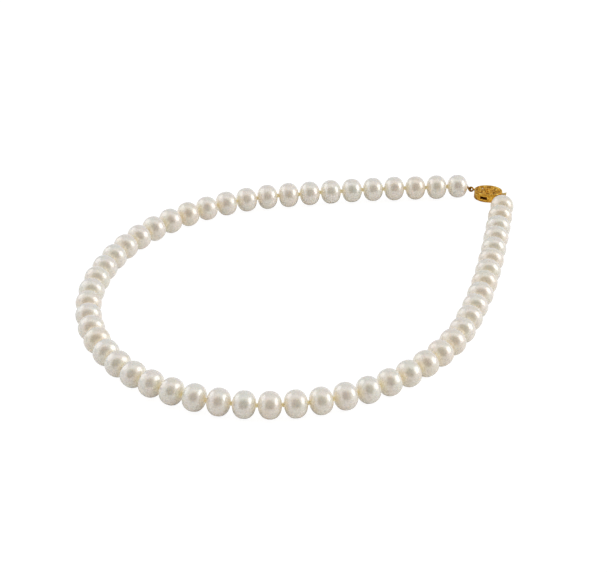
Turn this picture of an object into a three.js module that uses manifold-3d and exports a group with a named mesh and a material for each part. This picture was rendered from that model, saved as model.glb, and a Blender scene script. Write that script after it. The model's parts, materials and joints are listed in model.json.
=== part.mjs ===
// A single-strand pearl necklace laid out on a table: 56 drilled pearls on one knotted silk
// thread, joined by an oval gold fish-hook clasp. Millimetres, +Z up, table at z = 0.
import * as THREE from 'three';
import { mergeVertices } from 'three/addons/utils/BufferGeometryUtils.js';
import Module from 'manifold-3d';

const wasm = await Module();
wasm.setup();

// ---- Pearls ----
const PEARL_COUNT = 56;
const PEARL_ACROSS = 8.8; // diameter, square to the drill hole
const PEARL_LENGTH = 7.1; // along the drill hole: button pearls are shorter that way
const END_PEARL_ACROSS = 8.4; // the two pearls beside the clasp
const DRILL_BORE = 1.0;
const REAMED_BORE = 1.6; // the end pearls are opened out to take the gimp
const PEARL_SIDES = 10;
const PEARL_ARC_STEPS = 6;
const COLLAR_SIDES = 10;
// The first pearl of each pair that is modelled as one piece, held by a collar round its knot.
const PAIRED_WITH_NEXT = [2, 4, 18, 20, 33, 35, 37, 39];
const COLLAR_ACROSS = 2.9;
const COLLAR_BORE = 1.7;
const COLLAR_OVERLAP = 0.3; // how far the collar reaches into each pearl

// ---- Silk thread and gimp (French wire) ----
const KNOT_SPACE = 0.7; // clear space between two pearls, filled by one knot
const KNOT_ACROSS = 1.2;
const KNOT_LENGTH = 0.6;
const THREAD_ACROSS = 0.5; // the doubled thread inside the pearls
const PLY_ACROSS = 0.26; // one thread of the two, inside the gimp
const THREAD_SIDES = 6;
const GIMP_ACROSS = 0.56;
const GIMP_BORE = 0.38;
const GIMP_STEP = 0.5; // length of one facet along the gimp
const GIMP_DEPTH = 1.2; // how far each leg of the gimp runs into the reamed hole
const GIMP_CLEARANCE = 0.12; // between the gimp and the ring wire that it loops round
const LEG_SPACING = 0.7; // between the two legs of the gimp in the hole
const GIMP_LEVEL_SHARE = 0.15; // last part of the way to the ring, where the loop runs level
const STOP_KNOT_ACROSS = 1.15; // the knots at the feet of the gimp, where the two plies part
const STOP_KNOT_LENGTH = 0.5;

// ---- Clasp case ----
const CASE_LENGTH = 10.3;
const CASE_WIDTH = 7.8;
const CASE_WALL = 0.45;
const CASE_FACETS = 28;
const BASE_THICKNESS = 0.5;
const GALLERY_HEIGHT = 2.1;
const TOP_THICKNESS = 0.5;
const SOLDER_GAP = 0.05;
const MOUTH_WIDTH = 3.6;
const WINDOW_LENGTH = 2.5;
const WINDOW_HEIGHT = 1.1;
const WINDOW_PLACE = -1.3; // along the case from its middle
const RIM_WIDTH = 0.75;
const PETAL_COUNT = 8;
const PETAL_LENGTH = 1.25;
const PETAL_WIDTH = 0.95;
const PETAL_SIDES = 8;
const HUB_ACROSS = 2.2; // solid centre of the pierced top
const ROSETTE_ACROSS = 2.4;
const ROSETTE_HEIGHT = 0.6;
const ROSETTE_SHOULDER_ACROSS = 2.0;
const ROSETTE_SHOULDER_HEIGHT = 0.33;
const ROSETTE_FLAT_ACROSS = 0.96; // the flat top
const ROSETTE_SIDES = 10;
const BAR_ACROSS = 0.4;
const BAR_SIDES = 8;
const BAR_INSET = 1.3; // from the mouth end of the case
const BAR_CLEARANCE = 0.12; // over the barb, when the hook slides under the bar
const CASE_RING_ACROSS = 1.7; // to the middle of the wire
const CASE_RING_WIRE = 0.56;
const CASE_RING_HEIGHT = 2.9; // ring centre over the table

// ---- Fish hook ----
const STRIP_WIDTH = 2.4;
const STRIP_THICKNESS = 0.35;
const STRIP_CLEARANCE = 0.3; // under the lower leaf
const HOOK_INSET = 1.1; // from the fold to the closed end of the case, inside
const STRIP_OVERHANG = 1.3; // lower leaf outside the mouth
const TAB_OVERHANG = 1.5; // thumb tab outside the mouth
const TAB_RISE = 0.45;
const LEAF_JOINT_GAP = 0.3;
const BARB_HEIGHT = 0.12;
const BARB_LENGTH = 0.7;
const HOOK_RING_ACROSS = 2.3;
const HOOK_RING_WIRE = 0.6;
const HOOK_RING_HEIGHT = 1.9;

// ---- How the strand and the clasp lie ----
const CLASP_TURN = -11; // degrees from +X to the line from closed end to mouth
const CASE_SIDE_HEADING = 12; // degrees, from the first pearl to the case ring
const HOOK_SIDE_HEADING = 82; // degrees, from the last pearl to the hook ring
const CASE_SIDE_REACH = 0.8; // from the first pearl's face to the wire of the case ring
const HOOK_SIDE_REACH = 6.6; // from the last pearl's face to the wire of the hook ring
const RING_SEGMENTS = 14;
const WIRE_SIDES = 6;

// The line of the strand as it was laid down, seen from above and measured from the middle of
// the clasp: straight along the back, round the left, along the front and up the right.
const LAID_LINE = [
  [-18.6, 0.0],
  [-42.4, -1.7],
  [-65.6, -4.9],
  [-88.9, -9.8],
  [-109.8, -21.4],
  [-126.0, -39.1],
  [-135.2, -60.7],
  [-137.5, -83.0],
  [-131.7, -105.6],
  [-118.9, -123.6],
  [-100.3, -135.3],
  [-78.5, -139.4],
  [-55.9, -135.0],
  [-35.4, -122.5],
  [-20.1, -103.9],
  [-11.1, -81.2],
  [-5.1, -58.6],
  [-0.5, -36.2],
];

// ---- Worked out from the sizes above ----
const PITCH = PEARL_LENGTH + KNOT_SPACE;
const THREAD_HEIGHT = PEARL_ACROSS / 2;
const CASE_FLOOR = BASE_THICKNESS + SOLDER_GAP;
const CASE_CEILING = CASE_FLOOR + GALLERY_HEIGHT;
const TOP_UNDERSIDE = CASE_CEILING + SOLDER_GAP;
const TOP_SURFACE = TOP_UNDERSIDE + TOP_THICKNESS;
const STRIP_UNDERSIDE = CASE_FLOOR + STRIP_CLEARANCE;
const BAR_UNDERSIDE = CASE_CEILING - SOLDER_GAP - BAR_ACROSS;
const LEAF_UNDERSIDE = BAR_UNDERSIDE - BAR_CLEARANCE - BARB_HEIGHT - STRIP_THICKNESS;
const MOUTH_END = CASE_LENGTH / 2;
const FOLD_END = -MOUTH_END + CASE_WALL + HOOK_INSET;

const material = (color, roughness, metalness) =>
  new THREE.MeshStandardMaterial({ color, roughness, metalness });
const pearlMaterial = material('#e9e2d6', 0.25, 0);
const silkMaterial = material('#e6dcae', 0.8, 0);
const gimpMaterial = material('#d2a74a', 0.4, 1);
const goldMaterial = material('#c9952f', 0.25, 1);
const springMaterial = material('#d9b25c', 0.3, 1);

const radians = THREE.MathUtils.degToRad;
const necklace = new THREE.Group();
const clasp = new THREE.Group();
clasp.rotation.z = radians(CLASP_TURN);
necklace.add(clasp);

function addMesh(parent, name, geometry, finish) {
  const mesh = new THREE.Mesh(geometry, finish);
  mesh.name = name;
  parent.add(mesh);
  return mesh;
}

// ---- Joining and cutting ----
function toSolid(geometry) {
  const bare = geometry.clone();
  bare.deleteAttribute('normal');
  bare.deleteAttribute('uv');
  const merged = mergeVertices(bare, 1e-5);
  return new wasm.Manifold(new wasm.Mesh({
    numProp: 3,
    vertProperties: new Float32Array(merged.attributes.position.array),
    triVerts: new Uint32Array(merged.index.array),
  }));
}

function toGeometry(solid) {
  const mesh = solid.getMesh();
  const geometry = new THREE.BufferGeometry();
  geometry.setAttribute('position', new THREE.BufferAttribute(mesh.vertProperties, 3));
  geometry.setIndex(new THREE.BufferAttribute(mesh.triVerts, 1));
  geometry.computeVertexNormals();
  return geometry;
}

// ---- Shared shapes ----
const heading = (degrees) =>
  new THREE.Vector3(Math.cos(radians(degrees)), Math.sin(radians(degrees)), 0);

function ovalPath(PathClass, halfLength, halfWidth, sides) {
  const points = [];
  for (let i = 0; i < sides; i += 1) {
    const angle = (i / sides) * 2 * Math.PI;
    points.push(new THREE.Vector2(halfLength * Math.cos(angle), halfWidth * Math.sin(angle)));
  }
  return new PathClass(points);
}

// A round bar or tube swept along a curve.
function sweep(curve, across, bore, stepLength) {
  const steps = Math.round(curve.getLength() / stepLength);
  const section = ovalPath(THREE.Shape, across / 2, across / 2, THREAD_SIDES);
  if (bore > 0) section.holes.push(ovalPath(THREE.Path, bore / 2, bore / 2, THREAD_SIDES));
  return new THREE.ExtrudeGeometry(section, { steps, extrudePath: curve });
}

// A ring of wire that stands upright, its plane holding the X axis.
function standingRing(across, wire) {
  const ring = new THREE.TorusGeometry(across / 2, wire / 2, WIRE_SIDES, RING_SEGMENTS);
  ring.rotateX(Math.PI / 2);
  return ring;
}

// A flat strip bent to a side view (x, z) and given its width along Y.
function bentStrip(outline, width) {
  const side = new THREE.Shape(outline.map(([x, z]) => new THREE.Vector2(x, z)));
  const strip = new THREE.ExtrudeGeometry(side, { depth: width, bevelEnabled: false });
  strip.rotateX(Math.PI / 2);
  strip.translate(0, width / 2, 0);
  return strip;
}

// ---- Clasp case: base, gallery, pierced top, rosette, catch bar and end ring ----
function ovalPlate(thickness, underside, holes = []) {
  const outline = ovalPath(THREE.Shape, CASE_LENGTH / 2, CASE_WIDTH / 2, CASE_FACETS);
  outline.holes.push(...holes);
  const plate = new THREE.ExtrudeGeometry(outline, { depth: thickness, bevelEnabled: false });
  plate.translate(0, 0, underside);
  return plate;
}

function galleryGeometry() {
  const inside = ovalPath(
    THREE.Path, CASE_LENGTH / 2 - CASE_WALL, CASE_WIDTH / 2 - CASE_WALL, CASE_FACETS);
  const band = ovalPlate(GALLERY_HEIGHT, CASE_FLOOR, [inside]);
  const mouth = new THREE.BoxGeometry(CASE_LENGTH / 2, MOUTH_WIDTH, 2 * GALLERY_HEIGHT);
  mouth.translate(MOUTH_END, 0, CASE_FLOOR + GALLERY_HEIGHT / 2);
  const windows = new THREE.BoxGeometry(WINDOW_LENGTH, 2 * CASE_WIDTH, WINDOW_HEIGHT);
  windows.translate(WINDOW_PLACE, 0, CASE_FLOOR + GALLERY_HEIGHT / 2);
  return toGeometry(toSolid(band).subtract(toSolid(mouth)).subtract(toSolid(windows)));
}

// Petal-shaped openings stand round the hub, between it and the rim.
function petalOpenings() {
  const openings = [];
  for (let i = 0; i < PETAL_COUNT; i += 1) {
    const angle = ((i + 0.5) / PETAL_COUNT) * 2 * Math.PI;
    const out = new THREE.Vector2(
      (CASE_LENGTH / 2 - RIM_WIDTH) * Math.cos(angle), (CASE_WIDTH / 2 - RIM_WIDTH) * Math.sin(angle));
    const reach = out.length() - PETAL_LENGTH / 2;
    const middle = out.clone().setLength(Math.max(reach, (HUB_ACROSS + PETAL_LENGTH) / 2));
    const turn = Math.atan2(out.y, out.x);
    const petal = [];
    for (let k = 0; k < PETAL_SIDES; k += 1) {
      const a = (k / PETAL_SIDES) * 2 * Math.PI;
      const point = new THREE.Vector2(Math.cos(a) * PETAL_LENGTH / 2, Math.sin(a) * PETAL_WIDTH / 2);
      petal.push(point.rotateAround(new THREE.Vector2(), turn).add(middle));
    }
    openings.push(new THREE.Path(petal));
  }
  return openings;
}

function buildCase() {
  addMesh(clasp, 'case_base', ovalPlate(BASE_THICKNESS, 0), goldMaterial);
  addMesh(clasp, 'case_gallery', galleryGeometry(), goldMaterial);
  const top = ovalPlate(TOP_THICKNESS, TOP_UNDERSIDE, petalOpenings());
  addMesh(clasp, 'case_filigree_top', top, goldMaterial);
  const dome = [
    new THREE.Vector2(0, 0),
    new THREE.Vector2(ROSETTE_ACROSS / 2, 0),
    new THREE.Vector2(ROSETTE_SHOULDER_ACROSS / 2, ROSETTE_SHOULDER_HEIGHT),
    new THREE.Vector2(ROSETTE_FLAT_ACROSS / 2, ROSETTE_HEIGHT),
    new THREE.Vector2(0, ROSETTE_HEIGHT),
  ];
  const rosette = new THREE.LatheGeometry(dome, ROSETTE_SIDES);
  rosette.rotateX(Math.PI / 2);
  rosette.translate(0, 0, TOP_SURFACE + SOLDER_GAP);
  addMesh(clasp, 'case_rosette', rosette, goldMaterial);

  const barPlace = MOUTH_END - BAR_INSET;
  const insideHalfLength = CASE_LENGTH / 2 - CASE_WALL;
  const insideHalfWidth = CASE_WIDTH / 2 - CASE_WALL;
  const chord = insideHalfWidth * Math.sqrt(1 - (barPlace / insideHalfLength) ** 2);
  const barLength = 2 * (chord - SOLDER_GAP - BAR_ACROSS / 2);
  const bar = new THREE.CylinderGeometry(BAR_ACROSS / 2, BAR_ACROSS / 2, barLength, BAR_SIDES);
  bar.translate(barPlace, 0, BAR_UNDERSIDE + BAR_ACROSS / 2);
  addMesh(clasp, 'case_catch_bar', bar, goldMaterial);

  const ring = standingRing(CASE_RING_ACROSS, CASE_RING_WIRE);
  ring.translate(caseRingCentre.x, 0, CASE_RING_HEIGHT);
  addMesh(clasp, 'case_end_ring', ring, goldMaterial);
}

// ---- Fish hook: lower strip with the fold, upper spring leaf with the thumb tab, end ring ----
function buildHook() {
  const low = STRIP_UNDERSIDE;
  const lowTop = low + STRIP_THICKNESS;
  const high = LEAF_UNDERSIDE;
  const highTop = high + STRIP_THICKNESS;
  const foldEdge = FOLD_END + STRIP_THICKNESS;
  const strip = bentStrip([
    [MOUTH_END + STRIP_OVERHANG, low],
    [MOUTH_END + STRIP_OVERHANG, lowTop],
    [foldEdge, lowTop],
    [foldEdge, high],
    [foldEdge + STRIP_THICKNESS, high],
    [foldEdge + STRIP_THICKNESS, highTop],
    [FOLD_END, highTop],
    [FOLD_END, low],
  ].reverse(), STRIP_WIDTH);
  addMesh(clasp, 'hook_strip', strip, goldMaterial);

  const leafStart = foldEdge + STRIP_THICKNESS + LEAF_JOINT_GAP;
  const barbEnd = MOUTH_END - BAR_INSET - BAR_ACROSS;
  const tabStart = MOUTH_END + TAB_OVERHANG / 3;
  const tabEnd = MOUTH_END + TAB_OVERHANG;
  const leaf = bentStrip([
    [leafStart, high],
    [tabStart, high],
    [tabEnd, high + TAB_RISE],
    [tabEnd, highTop + TAB_RISE],
    [tabStart, highTop],
    [barbEnd, highTop],
    [barbEnd, highTop + BARB_HEIGHT],
    [barbEnd - BARB_LENGTH, highTop],
    [leafStart, highTop],
  ], STRIP_WIDTH);
  addMesh(clasp, 'hook_spring_leaf', leaf, springMaterial);

  const ring = standingRing(HOOK_RING_ACROSS, HOOK_RING_WIRE);
  ring.rotateZ(radians(HOOK_SIDE_HEADING - CLASP_TURN));
  ring.translate(hookRingCentre.x, hookRingCentre.y, HOOK_RING_HEIGHT);
  addMesh(clasp, 'hook_end_ring', ring, goldMaterial);
}

// ---- Where the rings stand, in the clasp's own frame ----
const caseRingCentre = new THREE.Vector3(
  -(CASE_LENGTH + CASE_RING_ACROSS + CASE_RING_WIRE) / 2 - SOLDER_GAP, 0, CASE_RING_HEIGHT);
const hookRingSide = heading(HOOK_SIDE_HEADING - CLASP_TURN + 180);
const hookRingCentre = new THREE.Vector3(
  MOUTH_END + STRIP_OVERHANG - STRIP_WIDTH / 4,
  -(STRIP_WIDTH + HOOK_RING_ACROSS + HOOK_RING_WIRE) / 2 - SOLDER_GAP,
  HOOK_RING_HEIGHT);

// ---- Where the gimp loops hold the rings, and where the strand starts and ends ----
const inNecklace = (point) =>
  point.clone().applyAxisAngle(new THREE.Vector3(0, 0, 1), radians(CLASP_TURN));
const caseLink = inNecklace(caseRingCentre.clone().add(new THREE.Vector3(-CASE_RING_ACROSS / 2, 0, 0)));
const hookLink = inNecklace(hookRingCentre.clone().addScaledVector(hookRingSide, HOOK_RING_ACROSS / 2));
const atThreadHeight = (point) => new THREE.Vector3(point.x, point.y, THREAD_HEIGHT);
const strandStart = atThreadHeight(caseLink)
  .addScaledVector(heading(CASE_SIDE_HEADING), KNOT_SPACE / 2 - CASE_SIDE_REACH);
const strandEnd = atThreadHeight(hookLink)
  .addScaledVector(heading(HOOK_SIDE_HEADING), KNOT_SPACE / 2 - HOOK_SIDE_REACH);

// ---- The strand ----
// The knots stand one pitch apart along the laid line, which is scaled until the pearls fill it.
function knotsAlong(scale) {
  const middle = LAID_LINE.map(([x, y]) => new THREE.Vector3(scale * x, scale * y, THREAD_HEIGHT));
  const line = new THREE.CatmullRomCurve3([strandStart, ...middle, strandEnd], false, 'centripetal');
  const knots = [strandStart.clone()];
  const samples = line.getPoints(100 * LAID_LINE.length);
  for (let i = 1; i < samples.length; i += 1) {
    const last = knots[knots.length - 1];
    const before = samples[i - 1].distanceTo(last);
    const after = samples[i].distanceTo(last);
    if (after >= PITCH) {
      const share = (PITCH - before) / (after - before);
      knots.push(samples[i - 1].clone().lerp(samples[i], share));
    }
  }
  const rest = strandEnd.distanceTo(knots[knots.length - 1]) / PITCH;
  return { knots, pearls: knots.length - 1 + rest };
}

function layKnots() {
  let small = 0.4;
  let large = 2.5;
  for (let i = 0; i < 50; i += 1) {
    const scale = (small + large) / 2;
    if (knotsAlong(scale).pearls < PEARL_COUNT) small = scale;
    else large = scale;
  }
  const { knots } = knotsAlong(small);
  return [...knots.slice(0, PEARL_COUNT), strandEnd.clone()];
}

const knots = layKnots();
const twoDigits = (number) => String(number).padStart(2, '0');
const isEndPearl = (number) => number === 1 || number === PEARL_COUNT;
const boreOf = (number) => (isEndPearl(number) ? REAMED_BORE : DRILL_BORE);

function pearlCentre(number) {
  return knots[number - 1].clone().add(knots[number]).multiplyScalar(0.5);
}

// Unit vector through a pearl's hole, towards the next pearl.
function drillLine(number) {
  return knots[number].clone().sub(knots[number - 1]).normalize();
}

// Turns a lathed shape from its own Y axis onto a level line through a point.
function layAlong(geometry, centre, direction) {
  geometry.rotateZ(-Math.PI / 2);
  geometry.rotateZ(Math.atan2(direction.y, direction.x));
  geometry.translate(centre.x, centre.y, centre.z);
  return geometry;
}

function pearlGeometry(number) {
  const across = isEndPearl(number) ? END_PEARL_ACROSS : PEARL_ACROSS;
  const boreRadius = boreOf(number) / 2;
  const start = Math.asin(boreRadius / (across / 2));
  const outline = [];
  for (let i = 0; i <= PEARL_ARC_STEPS; i += 1) {
    const angle = start + (i / PEARL_ARC_STEPS) * (Math.PI - 2 * start);
    outline.push(new THREE.Vector2(
      Math.sin(angle) * across / 2, -Math.cos(angle) * PEARL_LENGTH / 2));
  }
  outline.push(outline[0].clone());
  const pearl = new THREE.LatheGeometry(outline, PEARL_SIDES);
  return layAlong(pearl, pearlCentre(number), drillLine(number));
}

function collarGeometry(number) {
  const before = drillLine(number);
  const after = drillLine(number + 1);
  const halfLength = KNOT_SPACE / 2 + COLLAR_OVERLAP;
  const outline = [
    new THREE.Vector2(COLLAR_BORE / 2, -halfLength),
    new THREE.Vector2(COLLAR_ACROSS / 2, -halfLength),
    new THREE.Vector2(COLLAR_ACROSS / 2, halfLength),
    new THREE.Vector2(COLLAR_BORE / 2, halfLength),
    new THREE.Vector2(COLLAR_BORE / 2, -halfLength),
  ];
  const collar = new THREE.LatheGeometry(outline, COLLAR_SIDES);
  return layAlong(collar, knots[number], before.add(after));
}

function buildPearls() {
  for (let number = 1; number <= PEARL_COUNT; number += 1) {
    if (PAIRED_WITH_NEXT.includes(number - 1)) continue;
    if (PAIRED_WITH_NEXT.includes(number)) {
      const pair = toSolid(pearlGeometry(number))
        .add(toSolid(pearlGeometry(number + 1)))
        .add(toSolid(collarGeometry(number)));
      const name = `pearls_${twoDigits(number)}_${twoDigits(number + 1)}`;
      addMesh(necklace, name, toGeometry(pair), pearlMaterial);
    } else {
      addMesh(necklace, `pearl_${twoDigits(number)}`, pearlGeometry(number), pearlMaterial);
    }
  }
}

// ---- Gimp loops and the thread ----
// A loop leaves a pearl's hole, passes round a ring's upright wire and comes back. It is level
// where it holds the ring, and slopes from the hole's height to the ring's.
function loopRound(link, face, inward, wire, depth) {
  const outward = new THREE.Vector3(link.x - face.x, link.y - face.y, 0);
  const reach = outward.length();
  outward.normalize();
  const side = new THREE.Vector3(-outward.y, outward.x, 0);
  const halfLoop = wire / 2 + GIMP_CLEARANCE + GIMP_ACROSS / 2;
  const foot = face.clone().addScaledVector(inward, depth);
  const halfWayRound = halfLoop * Math.SQRT1_2;
  const beforeRing = link.clone().addScaledVector(outward, -GIMP_LEVEL_SHARE * reach);
  const pastWire = link.clone().addScaledVector(outward, halfWayRound);
  const tip = link.clone().addScaledVector(outward, halfLoop);
  const half = [
    [foot, LEG_SPACING / 2],
    [face, LEG_SPACING / 2],
    [beforeRing, halfLoop],
    [pastWire, halfWayRound],
  ];
  const there = half.map(([point, out]) => point.clone().addScaledVector(side, out));
  const back = half.map(([point, out]) => point.clone().addScaledVector(side, -out)).reverse();
  return new THREE.CatmullRomCurve3([...there, tip, ...back], false, 'centripetal');
}

function endLoops(depth) {
  const firstFace = pearlCentre(1).addScaledVector(drillLine(1), -PEARL_LENGTH / 2);
  const lastFace = pearlCentre(PEARL_COUNT).addScaledVector(drillLine(PEARL_COUNT), PEARL_LENGTH / 2);
  return [
    loopRound(caseLink, firstFace, drillLine(1), CASE_RING_WIRE, depth),
    loopRound(hookLink, lastFace, drillLine(PEARL_COUNT).negate(), HOOK_RING_WIRE, depth),
  ];
}

function buildGimp() {
  const [caseLoop, hookLoop] = endLoops(GIMP_DEPTH);
  const caseGimp = sweep(caseLoop, GIMP_ACROSS, GIMP_BORE, GIMP_STEP);
  addMesh(necklace, 'gimp_case_side', caseGimp, gimpMaterial);
  const hookGimp = sweep(hookLoop, GIMP_ACROSS, GIMP_BORE, GIMP_STEP);
  addMesh(necklace, 'gimp_hook_side', hookGimp, gimpMaterial);
}

// The doubled thread, turned straight with a knot at every pitch and a stop knot at the foot of
// each gimp, and then bent so that its axis runs through the knots.
function threadGeometry() {
  const radius = THREAD_ACROSS / 2;
  const first = KNOT_SPACE / 2 + GIMP_DEPTH + SOLDER_GAP;
  const last = PEARL_COUNT * PITCH - first;
  const outline = [
    new THREE.Vector2(0, first),
    new THREE.Vector2(STOP_KNOT_ACROSS / 2, first),
    new THREE.Vector2(STOP_KNOT_ACROSS / 2, first + STOP_KNOT_LENGTH),
    new THREE.Vector2(radius, first + STOP_KNOT_LENGTH),
  ];
  for (let number = 1; number < PEARL_COUNT; number += 1) {
    const place = number * PITCH;
    outline.push(new THREE.Vector2(radius, place - KNOT_LENGTH / 2));
    outline.push(new THREE.Vector2(KNOT_ACROSS / 2, place));
    outline.push(new THREE.Vector2(radius, place + KNOT_LENGTH / 2));
  }
  outline.push(new THREE.Vector2(radius, last - STOP_KNOT_LENGTH));
  outline.push(new THREE.Vector2(STOP_KNOT_ACROSS / 2, last - STOP_KNOT_LENGTH));
  outline.push(new THREE.Vector2(STOP_KNOT_ACROSS / 2, last));
  outline.push(new THREE.Vector2(0, last));
  const thread = new THREE.LatheGeometry(outline, THREAD_SIDES);
  const vertices = thread.attributes.position;
  for (let i = 0; i < vertices.count; i += 1) {
    const along = vertices.getY(i) / PITCH;
    const number = Math.floor(along + 1e-6) + 1;
    const atKnot = Math.abs(along - Math.round(along)) < 1e-6;
    const direction = drillLine(number);
    if (atKnot) direction.add(drillLine(number - 1)).normalize();
    const point = knots[number - 1].clone().lerp(knots[number], along - number + 1);
    point.x += direction.y * vertices.getX(i);
    point.y -= direction.x * vertices.getX(i);
    point.z += vertices.getZ(i);
    vertices.setXYZ(i, point.x, point.y, point.z);
  }
  return thread;
}

function buildThread() {
  let thread = toSolid(threadGeometry());
  // At each stop knot the two plies part, to run through the gimp and back.
  for (const loop of endLoops(GIMP_DEPTH + STOP_KNOT_LENGTH / 3)) {
    thread = thread.add(toSolid(sweep(loop, PLY_ACROSS, 0, GIMP_STEP)));
  }
  addMesh(necklace, 'silk_thread', toGeometry(thread), silkMaterial);
}

buildCase();
buildHook();
buildPearls();
buildGimp();
buildThread();

// ---- Origin: the middle of the whole object, on the table ----
necklace.updateMatrixWorld(true);
const box = new THREE.Box3().setFromObject(necklace, true);
const middle = box.getCenter(new THREE.Vector3());
const shift = new THREE.Vector3(-middle.x, -middle.y, 0);
necklace.position.copy(shift);
necklace.updateMatrixWorld(true);

// ---- Joint axes, in the necklace's frame ----
const leafPivot = new THREE.Vector3(
  FOLD_END + 2 * STRIP_THICKNESS, 0, LEAF_UNDERSIDE + STRIP_THICKNESS / 2);
necklace.userData = {
  knots: knots.map((knot) => knot.clone().add(shift).toArray()),
  caseLink: caseLink.clone().add(shift).toArray(),
  hookLink: hookLink.clone().add(shift).toArray(),
  leafPivot: inNecklace(leafPivot).add(shift).toArray(),
  claspAxis: heading(CLASP_TURN).toArray(),
  claspMiddle: shift.toArray(),
};

export default necklace;
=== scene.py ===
import json
import math
import random

import bmesh
import bpy
from mathutils import Matrix, Vector, noise


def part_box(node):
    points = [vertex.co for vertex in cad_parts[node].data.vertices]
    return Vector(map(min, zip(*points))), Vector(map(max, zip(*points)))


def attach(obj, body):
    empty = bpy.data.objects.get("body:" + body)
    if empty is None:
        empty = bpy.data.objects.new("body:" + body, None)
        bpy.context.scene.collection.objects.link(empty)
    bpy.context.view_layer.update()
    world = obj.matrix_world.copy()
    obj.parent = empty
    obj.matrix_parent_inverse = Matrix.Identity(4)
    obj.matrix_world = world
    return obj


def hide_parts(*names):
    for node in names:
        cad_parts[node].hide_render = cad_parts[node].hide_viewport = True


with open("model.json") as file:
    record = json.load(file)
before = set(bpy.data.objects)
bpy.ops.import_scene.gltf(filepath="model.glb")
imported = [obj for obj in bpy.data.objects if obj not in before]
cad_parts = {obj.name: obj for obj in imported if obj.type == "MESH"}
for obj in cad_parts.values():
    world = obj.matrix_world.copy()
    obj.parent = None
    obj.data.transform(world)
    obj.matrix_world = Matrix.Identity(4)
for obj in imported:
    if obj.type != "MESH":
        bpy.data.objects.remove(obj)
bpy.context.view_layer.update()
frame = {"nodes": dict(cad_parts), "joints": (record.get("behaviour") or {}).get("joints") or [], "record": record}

# ---------------------------------------------------------------------------------------------
# The pearls: 56 freshwater button pearls of cream nacre, drilled through and a little flattened
# along the hole. Each is slightly off round and has its own tint. They're strung on knotted silk.
# ---------------------------------------------------------------------------------------------
PEARL_COUNT = 56
PEARL_ACROSS = 0.0088
END_PEARL_ACROSS = 0.0084
PEARL_LENGTH = 0.0073
DRILL_RADIUS = 0.0005
REAMED_RADIUS = 0.0008
LIP = 0.00012  # rounding of the drill hole's mouth
LIP_STEPS = 3
PEARL_SIDES = 56
PEARL_RINGS = 30
FULLNESS = 0.90  # 1 is an ellipse; less fills out its corners
SIZE_SPREAD = 0.018
OFF_ROUND = 0.011  # of the radius
SQUEEZE = 0.025  # the most that a pearl is flatter one way than the other
BROAD_SWELLING = 1 / 230
SMALL_SWELLING = 1 / 520
PAINTED_GLOW_REACH = 0.9  # of the radius: how far the painted glow reaches out from the hole, standing in for light from the next pearl
PAINTED_GLOW_FALL = 1.2
THREAD_RADIUS = 0.00025
PEARL_TINTS = [(0.0, "#ece5d3"), (0.3, "#eee5d9"), (0.55, "#eae6da"), (0.8, "#efe4d3"),
               (1.0, "#ecdfc6")]
PEARL_OVERTONES = [(0.30, "#dfe2d4"), (0.45, "#ece6d4"), (0.58, "#eedfd4"), (0.74, "#e8dab4")]
OVERTONE_PATCH = 0.00385
NACRE_GROWTH = 0.00111  # real growth lines are finer; this is as coarse as it needs to show
NACRE_DIMPLE = 0.003125


def linear(hex_colour, alpha=1.0):
    """An sRGB hex colour as linear RGBA."""
    channels = [int(hex_colour[i:i + 2], 16) / 255 for i in (1, 3, 5)]
    return (*[c / 12.92 if c <= 0.04045 else ((c + 0.055) / 1.055) ** 2.4 for c in channels], alpha)


def feed(node, inputs):
    """Gives a node's sockets their values, or links them to the output sockets of other nodes."""
    for key, value in inputs.items():
        if isinstance(value, bpy.types.NodeSocket):
            node.id_data.links.new(value, node.inputs[key])
        else:
            node.inputs[key].default_value = value


def add_node(tree, kind, inputs, stops=(), **settings):
    """Adds a node with its settings and inputs; stops are a colour ramp's (place, hex) pairs."""
    node = tree.nodes.new(kind)
    for key, value in settings.items():
        setattr(node, key, value)
    feed(node, inputs)
    while stops and len(node.color_ramp.elements) < len(stops):
        node.color_ramp.elements.new(0.5)
    for i, (place, colour) in enumerate(stops):
        node.color_ramp.elements[i].position = place
        node.color_ramp.elements[i].color = linear(colour)
    return node


def new_material(name):
    """A material with its Principled shader, and object coordinates to lay its patterns on."""
    material = bpy.data.materials.new(name)
    material.use_nodes = True
    tree = material.node_tree
    place = add_node(tree, "ShaderNodeTexCoord", {}).outputs["Object"]
    return material, tree, tree.nodes["Principled BSDF"], place


def finish_piece(name, bm, material, body, replaced):
    """Turns a bmesh that lies in place into a piece that rides on a body."""
    bmesh.ops.remove_doubles(bm, verts=bm.verts, dist=1e-7)
    bmesh.ops.recalc_face_normals(bm, faces=bm.faces)
    for face in bm.faces:
        face.smooth = True
    mesh = bpy.data.meshes.new(name)
    bm.to_mesh(mesh)
    bm.free()
    mesh.materials.append(material)
    piece = bpy.data.objects.new(name, mesh)
    bpy.context.scene.collection.objects.link(piece)
    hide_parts(*replaced)
    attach(piece, body)


node_body = {n: b for b, ns in frame["record"]["behaviour"]["bodies"].items() for n in ns}
pearl_node = {}
for node in node_body:
    if node.startswith("pearl"):
        for number in node.split("_")[1:]:
            pearl_node[int(number)] = node

# A knot stands under each crest of the thread's solid. They are met one after another when
# walking along the thread from the first pearl.
thread_solid = [v.co.copy() for v in frame["nodes"]["silk_thread"].data.vertices]
crest = max(spot.z for spot in thread_solid)
unmet = [spot for spot in thread_solid if spot.z > crest - 0.00001]
low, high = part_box(pearl_node[1])
here = (low + high) / 2
knots = {}
while unmet:
    here = min(unmet, key=lambda spot: (spot - here).length)
    unmet = [spot for spot in unmet if (spot - here).length > THREAD_RADIUS]
    knots[len(knots) + 1] = Vector((here.x, here.y, PEARL_ACROSS / 2))
for end, beside, number in ((0, 1, 1), (PEARL_COUNT, PEARL_COUNT - 1, PEARL_COUNT)):
    low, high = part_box(pearl_node[number])
    knots[end] = low + high - knots[beside]


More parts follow.
